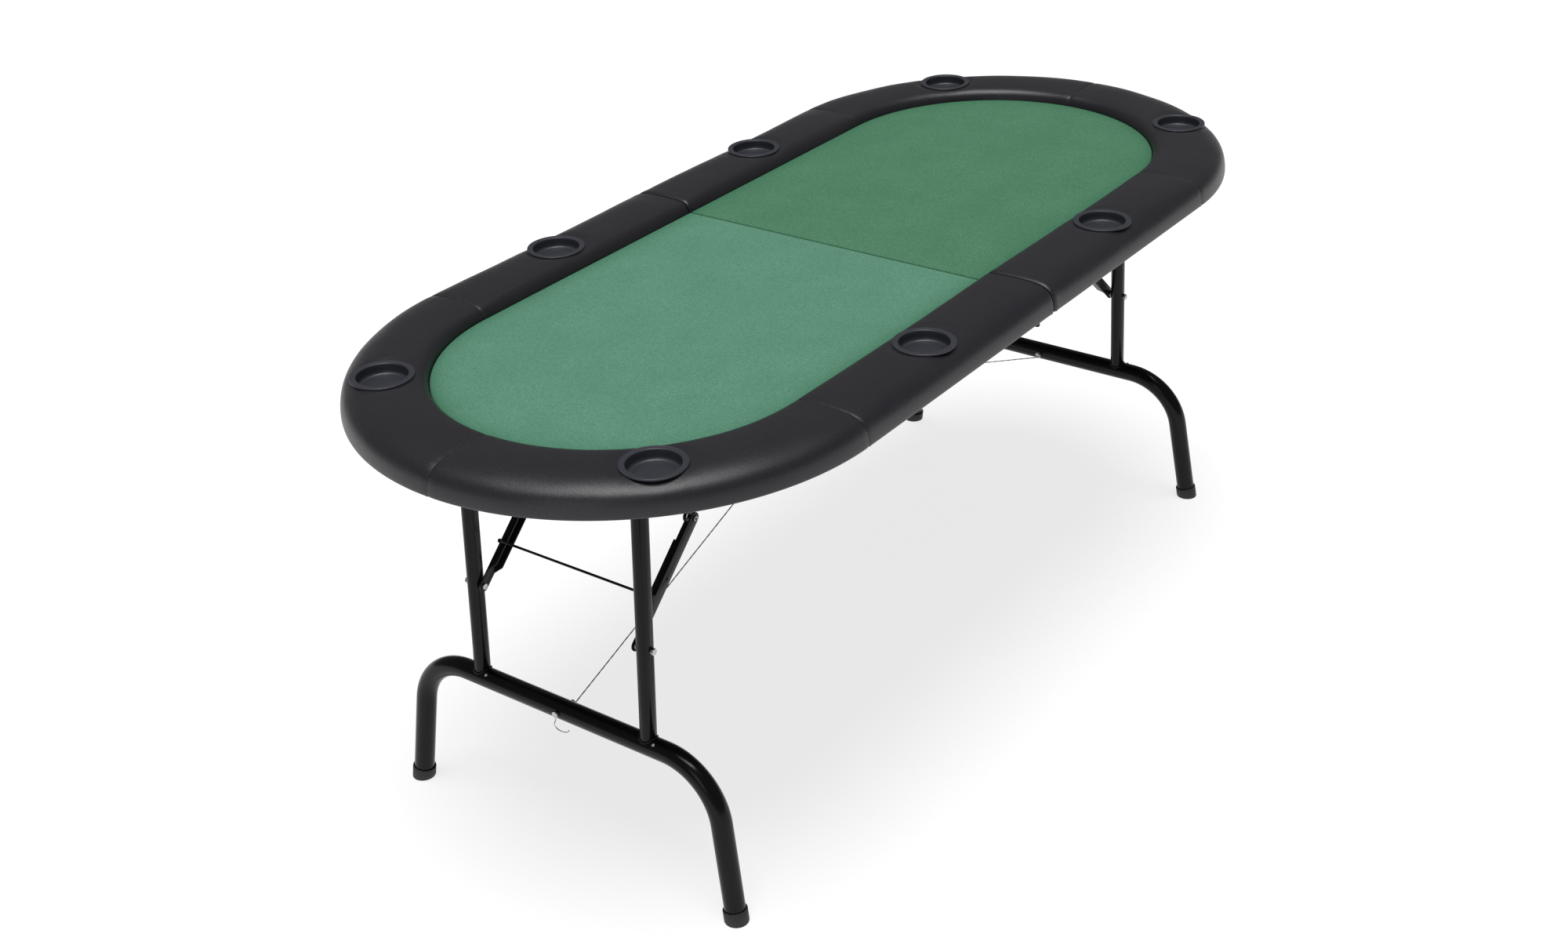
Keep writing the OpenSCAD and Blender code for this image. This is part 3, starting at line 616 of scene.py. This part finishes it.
def makeCloths():
    # foam under cloth: the edge rolls down at the rail and at the fold
    look = {"radius": 285.15 * mm, "bottom": 716.6 * mm, "top": 721.5 * mm, "edge": 3.2 * mm, "arcSteps": 48,
            "foldEdge": 2.4 * mm, "railShadeReach": 16 * mm, "unevenness": 0.25 * mm, "length": 500.5}
    across = list(range(0, 241, 12)) + [250, 258, 265, 271, 276, 279, 281.5]
    edge = look["edge"]
    roll = [(look["radius"] - edge * (1 - math.sin(a)), look["top"] - edge * (1 - math.cos(a)))
            for a in [math.radians(d) for d in range(0, 91, 15)]]
    along = [0, 0.3, 0.9, 1.7, 2.6, 4, 7, 12] + list(range(20, 500, 12)) + [look["length"]]
    top = [(y * mm, look["top"]) for y in across] + roll
    bottom = [(look["radius"], look["bottom"]), (0, look["bottom"])]
    for side in sideNames:
        bm = bmesh.new()
        edges = edgesThrough(bm, [(-table["halfGap"], y, z) for y, z in top + bottom])
        for a, b in zip(along, along[1:]):
            edges = pulledOut(bm, edges, (b - a) * mm)
        bmesh.ops.spin(bm, geom=edges, cent=(-table["arcX"], 0, 0), axis=(0, 0, 1), dvec=(0, 0, 0),
                       angle=math.pi / 2, steps=look["arcSteps"], use_merge=False, use_duplicate=False)
        bmesh.ops.mirror(bm, geom=bm.verts[:] + bm.edges[:] + bm.faces[:], axis="Y", merge_dist=0.05 * mm)
        bmesh.ops.remove_doubles(bm, verts=bm.verts, dist=0.05 * mm)
        # rim holds how much painted shade each spot of the cloth gets: most at the rail, fading inwards
        rim = bm.verts.layers.float.new("rim")
        for v in bm.verts:
            fromArc = v.co.x + table["arcX"]
            reachOut = abs(v.co.y) if fromArc > 0 else math.hypot(fromArc, v.co.y)
            v[rim] = math.exp(-(look["radius"] - reachOut) / look["railShadeReach"])
            if v.co.z > look["bottom"] + 1 * mm:
                short = max(look["foldEdge"] + v.co.x + table["halfGap"], 0)
                v.co.z -= look["foldEdge"] - math.sqrt(max(look["foldEdge"] ** 2 - short ** 2, 0))
                v.co.z += look["unevenness"] * noise.noise(Vector((v.co.x * 7, v.co.y * 7, 5.1)))
        bmesh.ops.holes_fill(bm, edges=[e for e in bm.edges if e.is_boundary], sides=0)
        mirrored(bm, side, "back")
        # each half gets its copy of the cloth: the left one painted lighter, the right one painted darker
        cloth = finishPiece(side + "_cloth_pad", bm, "cloth" + side.title(), side + "_half",
                            (side + "_felt_pad",), 40)
    print("cloths made")


def roundEdges(nodeName, width, material, body):
    # a CAD part with its sharp edges rounded; its own loose triangles are merged in the copy
    finish = {"merge": 0.004 * mm, "flat": math.radians(1.5), "sharp": 30, "segments": 2}
    bm = bmesh.new()
    bm.from_mesh(nodes[nodeName].data)
    bmesh.ops.remove_doubles(bm, verts=bm.verts, dist=finish["merge"])
    bmesh.ops.dissolve_limit(bm, angle_limit=finish["flat"], verts=bm.verts, edges=bm.edges)
    sharp = [e for e in bm.edges
             if len(e.link_faces) == 2 and e.calc_face_angle(0) > math.radians(finish["sharp"])]
    bmesh.ops.bevel(bm, geom=sharp, offset=width * mm, offset_type="OFFSET", affect="EDGES",
                    segments=finish["segments"], profile=0.5, material=-1, clamp_overlap=True)
    finishPiece(nodeName + "_finished", bm, material, body, (nodeName,), finish["sharp"])


leg = {
    "pivotX": 687 * mm, "pivotZ": 672 * mm, "lean": 3.66, "barZ": 240.5 * mm, "footRadius": 16 * mm,
    "postY": 162.5 * mm, "postRadius": 12.5 * mm, "pivotRadius": 11 * mm, "bend": 100 * mm, "splay": 8.6,
    "footY": 316 * mm, "capFloor": 5 * mm, "foldAngle": 93.66,
}
lean, splay = math.radians(leg["lean"]), math.radians(leg["splay"])
legAxes = Matrix.Translation((-leg["pivotX"], 0, leg["pivotZ"])) @ Matrix.Rotation(lean, 4, "Y")
barAt = (leg["pivotZ"] - leg["barZ"]) / math.cos(lean)
shinLength = (leg["pivotZ"] / math.cos(lean) - barAt - leg["bend"] * (1 - math.sin(splay))) / math.cos(splay)
barHalf = leg["footY"] - leg["bend"] * math.cos(splay) - shinLength * math.sin(splay)


def tubeAlong(points, radius, sides=24, closed=False, swell=None):
    # a round bar along the points, as a bmesh; swell gives each point's share of the radius
    curve = bpy.data.curves.new("path", "CURVE")
    curve.dimensions = "3D"
    curve.bevel_depth = radius
    curve.bevel_resolution = sides // 2 - 2
    curve.use_fill_caps = not closed
    spline = curve.splines.new("POLY")
    spline.points.add(len(points) - 1)
    for i, p in enumerate(points):
        spline.points[i].co = (*p, 1)
        spline.points[i].radius = swell[i] if swell else 1
    spline.use_cyclic_u = closed
    holder = bpy.data.objects.new("path", curve)
    scene.collection.objects.link(holder)
    mesh = bpy.data.meshes.new_from_object(holder.evaluated_get(bpy.context.evaluated_depsgraph_get()))
    bm = bmesh.new()
    bm.from_mesh(mesh)
    bpy.data.objects.remove(holder)
    bpy.data.curves.remove(curve)
    bpy.data.meshes.remove(mesh)
    bmesh.ops.remove_doubles(bm, verts=bm.verts, dist=0.005 * mm)
    bmesh.ops.recalc_face_normals(bm, faces=bm.faces)
    return bm


def joinInto(target, *parts):
    for part in parts:
        mesh = bpy.data.meshes.new("part")
        part.to_mesh(mesh)
        part.free()
        target.from_mesh(mesh)
        bpy.data.meshes.remove(mesh)
    return target


def footPath():
    # down one foot, round its bend, along the crossbar and down the other, in the leg's axes
    half = [(0, 0, -barAt), (0, barHalf * 0.5, -barAt), (0, barHalf, -barAt)]
    centre = Vector((0, barHalf, -barAt - leg["bend"]))
    for i in range(1, 21):
        a = math.pi / 2 + (splay - math.pi / 2) * i / 20
        half.append(centre + leg["bend"] * Vector((0, math.cos(a), math.sin(a))))
    along = Vector((0, math.sin(splay), -math.cos(splay)))
    half.append(half[-1] + along * (shinLength - leg["capFloor"]))
    other = [Vector((0, -p[1], p[2])) for p in half[:0:-1]]
    return other + [Vector(p) for p in half]


def weldBead(rim, seed):
    # a bead of overlapping weld puddles round a closed line
    bead = {"radius": 2.1 * mm, "puddle": 0.16, "puddleTurn": 2.1, "rough": 0.1, "roughTurn": 0.7}
    swell = [1 + bead["puddle"] * math.sin(i * bead["puddleTurn"] + seed)
             + bead["rough"] * noise.noise(Vector((i * bead["roughTurn"], seed, 0))) for i in range(len(rim))]
    return tubeAlong(rim, bead["radius"], 10, True, swell)


def ringPoints(centre, radius, facing):
    # points round an upright circle that faces along X or Y
    turns = [2 * math.pi * i / 24 for i in range(24)]
    if facing == "x":
        return [centre + radius * Vector((0, math.cos(a), math.sin(a))) for a in turns]
    return [centre + radius * Vector((math.cos(a), 0, math.sin(a))) for a in turns]


def makeLegs():
    weld = {"steps": 56, "inset": 0.86}
    rivet = {"radius": 2.7 * mm, "at": Vector((-10.5, -17, 12.2)) * mm, "flatness": 0.6}
    for side in sideNames:
        foot = tubeAlong(footPath(), leg["footRadius"], 40)
        bmesh.ops.transform(foot, matrix=legAxes, verts=foot.verts)
        mirrored(foot, side, "back")
        finishPiece(side + "_foot_tube_bent", foot, "blackTube", side + "_leg",
                    (side + "_foot_tube",), 50)
        beads, rivets = bmesh.new(), bmesh.new()
        for sign in (-1, 1):
            low, high = [], []
            for i in range(weld["steps"]):
                a = 2 * math.pi * i / weld["steps"]
                x, y = leg["postRadius"] * math.cos(a), sign * leg["postY"] + leg["postRadius"] * math.sin(a)
                low.append(Vector((x, y, math.sqrt(leg["footRadius"] ** 2 - x * x) - barAt)))
                x *= weld["inset"]
                high.append(Vector((x, y, -math.sqrt(leg["pivotRadius"] ** 2 - x * x))))
            joinInto(beads, weldBead(low, sign), weldBead(high, sign + 3))
            # a small rivet stands on the crossbar beside each post
            spot = rivet["at"] + Vector((0, sign * leg["postY"], -barAt))
            outward = Vector((rivet["at"].x, 0, rivet["at"].z))
            turn = outward.to_track_quat("Z", "Y").to_matrix().to_4x4()
            dome = Matrix.Diagonal((1, 1, rivet["flatness"], 1))
            bmesh.ops.create_uvsphere(rivets, u_segments=16, v_segments=10, radius=rivet["radius"],
                                      matrix=Matrix.Translation(spot) @ turn @ dome)
        for name, bm, material, slotName in (("weld_beads", beads, "blackTube", "black_tube"),
                                             ("bar_rivets", rivets, "zinc", "zinc_steel")):
            bmesh.ops.transform(bm, matrix=legAxes, verts=bm.verts)
            mirrored(bm, side, "back")
            finishPiece(f"{side}_{name}", bm, material, side + "_leg")
    print("legs made")


def makeCables():
    # taut wire from the crossbar's bolt to the strut; the hook turns with the strut, the short inner piece
    # hangs on no body
    wire = {"radius": 1.0 * mm, "eyeX": 21.5 * mm, "eyeRadius": 4.4 * mm, "inner": 6 * mm, "leastKeep": 0.004,
            "tip": Vector((-15 * mm, 0, 478 * mm)), "hookLong": 7.5 * mm, "hookHigh": 5 * mm,
            "clampRadius": 2.6 * mm, "clampAt": (14, 13, 6, 5), "clampSwell": (0.8, 1, 1, 0.8)}
    # the spare tail hangs in a loose loop under the left bolt's head
    tail = {"radius": 0.8 * mm, "steps": 6,
            "points": ((-17.5, 0, 0), (-20, -1, -7), (-21.5, 1, -15), (-20.5, -3, -22), (-18, -10, -26),
                       (-16, -17, -25.5), (-15.5, -21, -22.5), (-16.5, -22.5, -20))}
    tip = wire["tip"]
    bar = legAxes @ Vector((0, 0, -barAt))
    bolt = legAxes @ Vector((wire["eyeX"], 0, -barAt))
    eye = bolt - Vector((0, 0, wire["eyeRadius"]))
    along = (tip - eye).normalized()
    joinAt = tip - along * wire["inner"]
    # the body each piece rides on: the eye and the tail go with the leg, the hook with the strut, the wire
    # with the half, the inner piece with none
    for side in sideNames:
        bodies = {"cable_wire": side + "_half", "cable_end": None, "cable_hook": "strut",
                  "cable_eye": side + "_leg", "cable_tail": side + "_leg"}
        main = tubeAlong([eye + (joinAt - eye) * i / 40 for i in range(41)], wire["radius"], 10)
        inner = tubeAlong([joinAt + along * wire["inner"] * i / 12 for i in range(13)], wire["radius"], 10)
        turns = [2 * math.pi * i / 24 for i in range(24)]
        hook = [tip + Vector((wire["hookLong"] * (1 + math.cos(a)), 0, wire["hookHigh"] * math.sin(a)))
                for a in turns]
        clamp = tubeAlong([tip - along * d * mm for d in wire["clampAt"]], wire["clampRadius"], 12, False,
                          wire["clampSwell"])
        pieces = {"cable_wire": main, "cable_end": inner,
                  "cable_hook": joinInto(tubeAlong(hook, wire["radius"], 8, True), clamp),
                  "cable_eye": tubeAlong(ringPoints(bolt, wire["eyeRadius"], "x"), wire["radius"], 8, True)}
        if side == "left":
            line = smoothCurve([bar + Vector(p) * mm for p in tail["points"]], tail["steps"])
            pieces["cable_tail"] = tubeAlong(line, tail["radius"], 8)
        for name, bm in pieces.items():
            mirrored(bm, side, "back")
            stands = (side + "_cable",) if name == "cable_wire" else ()
            piece = finishPiece(f"{side}_{name}", bm, "wire", bodies[name], stands,
                                0 if name == "cable_end" else 40)
            if name == "cable_wire":
                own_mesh(piece)
            elif name == "cable_end" and side == "left":
                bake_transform(piece)
            elif name == "cable_end":
                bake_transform(piece)
    print("cables made")


def makePinRims():
    # the bright peened rim of each brace's middle pin
    rim = {"x": -558.5 * mm, "y": 149 * mm, "z": 533.7 * mm, "radius": 3 * mm, "wire": 0.9 * mm}
    for side in sideNames:
        rims = bmesh.new()
        for face in (-1, 1):
            circle = ringPoints(Vector((rim["x"], face * rim["y"], rim["z"])), rim["radius"], "y")
            joinInto(rims, tubeAlong(circle, rim["wire"], 8, True))
        mirrored(rims, side, "back")
        finishPiece(side + "_pin_rims", rims, "zinc", side + "_lower_brace")
    print("pin rims made")


def makeHardware():
    # part, rounding of its edges in mm, material, slot and body; each half has the first two lists
    onHalf = (("hinge_ears", 0.5, "blackBracket", "black_bracket"),
              ("leg_saddles", 0.4, "blackBracket", "black_bracket"),
              ("brace_brackets", 0.4, "blackBracket", "black_bracket"),
              ("screws", 0.4, "zinc", "zinc_steel"),
              ("base_board", 0.8, "boardPly", "plywood"),
              ("play_deck", 0.3, "deckBoard", "fibreboard"),
              ("fold_batten", 1.2, "battenPly", "plywood"))
    onLeg = (("pivot_tube", 0.3, "blackTube", "black_tube", "leg"),
             ("post_front", 0.2, "blackTube", "black_tube", "leg"),
             ("post_back", 0.2, "blackTube", "black_tube", "leg"),
             ("foot_caps", 1.0, "footRubber", "foot_rubber", "leg"),
             ("brace_bolts", 0.4, "zinc", "zinc_steel", "leg"),
             ("cable_bolt", 0.4, "zinc", "zinc_steel", "leg"),
             ("lower_links", 0.5, "blackLink", "black_link", "lower_brace"),
             ("cross_rod", 0.3, "blackTube", "black_tube", "lower_brace"),
             ("upper_links", 0.5, "blackLink", "black_link", "upper_brace"))
    for name, width, material, slotName in onHalf:
        for side in sideNames:
            roundEdges(f"{side}_{name}", width, material, side + "_half")
    roundEdges("hinge_pins", 0.5, "zinc", "left_half")
    roundEdges("fold_bumpers", 1.0, "footRubber", "left_half")
    roundEdges("centre_strut", 0.8, "blackBracket", "strut")
    for side in sideNames:
        for name, width, material, slotName, body in onLeg:
            roundEdges(f"{side}_{name}", width, material, f"{side}_{body}")
    print("hardware made")


makeRails()
makeCups()
makeCloths()
makeHardware()
makeLegs()
makeCables()
makePinRims()

view = {
    "place": (-2.4276, -1.7307, 1.9453), "turn": 52.769, "down": 28.739, "roll": -2.772, "lens": 45.67,
    "sensor": 36.0,
}


def makeStage():
    # a pale floor that glows a little, so that its shadows stay soft
    look = {"glow": 0.76, "dark": "929292", "light": "9a9a9a", "size": 30, "below": 0.5 * mm}
    material, shader, where = startMaterial(
        "paleFloor", Roughness=0.6, Specular_IOR_Level=0.2,
        Emission_Color=hexColour("ffffff"), Emission_Strength=look["glow"])
    soft = addNode(material, "TexNoise", {"Vector": where, "Scale": 0.8, "Detail": 2.0}).outputs["Fac"]
    feed(material, shader, "Base Color",
         mixColours(material, soft, hexColour(look["dark"]), hexColour(look["light"])))
    bm = bmesh.new()
    bmesh.ops.create_grid(bm, x_segments=8, y_segments=8, size=look["size"])
    mesh = bpy.data.meshes.new("floor")
    bm.to_mesh(mesh)
    bm.free()
    floor = bpy.data.objects.new("floor", mesh)
    floor.location.z = -look["below"]
    mesh.materials.append(material)
    scene.collection.objects.link(floor)


def addLamp(light, place, towards):
    lamp = bpy.data.objects.new(light.name, light)
    lamp.location = place
    lamp.rotation_euler = Vector(towards).to_track_quat("-Z", "Y").to_euler()
    scene.collection.objects.link(lamp)


def makeLights():
    # a wide light overhead, one softbox for the edges, and a dim room all round
    look = {"spread": 34, "overhead": 2.7, "edgePower": 7, "edgeSize": (1.0, 1.6),
            "room": 0.18, "beyond": 1.0}
    ceiling = bpy.data.lights.new("ceilingLight", "SUN")
    ceiling.angle = math.radians(look["spread"])
    ceiling.energy = look["overhead"]
    addLamp(ceiling, (0, 0, 0), (0.1, 0.05, -1))
    softbox = bpy.data.lights.new("edgeSoftbox", "AREA")
    softbox.shape = "RECTANGLE"
    softbox.size, softbox.size_y = look["edgeSize"]
    softbox.energy = look["edgePower"]
    addLamp(softbox, (-3.4, -1.0, 1.6), (3.4, 1.0, -1.1))
    world = bpy.data.worlds.new("studio")
    world.use_nodes = True
    background = next(n for n in world.node_tree.nodes if n.type == "BACKGROUND")
    background.inputs["Color"].default_value = (1, 1, 1, 1)
    # the room lights the table dimly, but what shows of it beyond the floor is white
    seen = world.node_tree.nodes.new("ShaderNodeLightPath")
    strength = world.node_tree.nodes.new("ShaderNodeMapRange")
    strength.inputs["To Min"].default_value = look["room"]
    strength.inputs["To Max"].default_value = look["beyond"]
    world.node_tree.links.new(seen.outputs["Is Camera Ray"], strength.inputs["Value"])
    world.node_tree.links.new(strength.outputs["Result"], background.inputs["Strength"])
    scene.world = world
    scene.view_settings.view_transform = "Standard"


def makeCamera():
    az, el, roll = (math.radians(view[k]) for k in ("turn", "down", "roll"))
    ahead = Vector((math.sin(az) * math.cos(el), math.cos(az) * math.cos(el), -math.sin(el)))
    level = Vector((math.cos(az), -math.sin(az), 0))
    up = level.cross(ahead)
    right = math.cos(roll) * level + math.sin(roll) * up
    top = -math.sin(roll) * level + math.cos(roll) * up
    lens = bpy.data.cameras.new("viewCamera")
    lens.lens, lens.sensor_width = view["lens"], view["sensor"]
    camera = bpy.data.objects.new("viewCamera", lens)
    turned = Matrix((right, top, -ahead)).transposed().to_4x4()
    camera.matrix_world = Matrix.Translation(view["place"]) @ turned
    scene.collection.objects.link(camera)
    scene.camera = camera


makeStage()
makeLights()
makeCamera()
print("stage made")
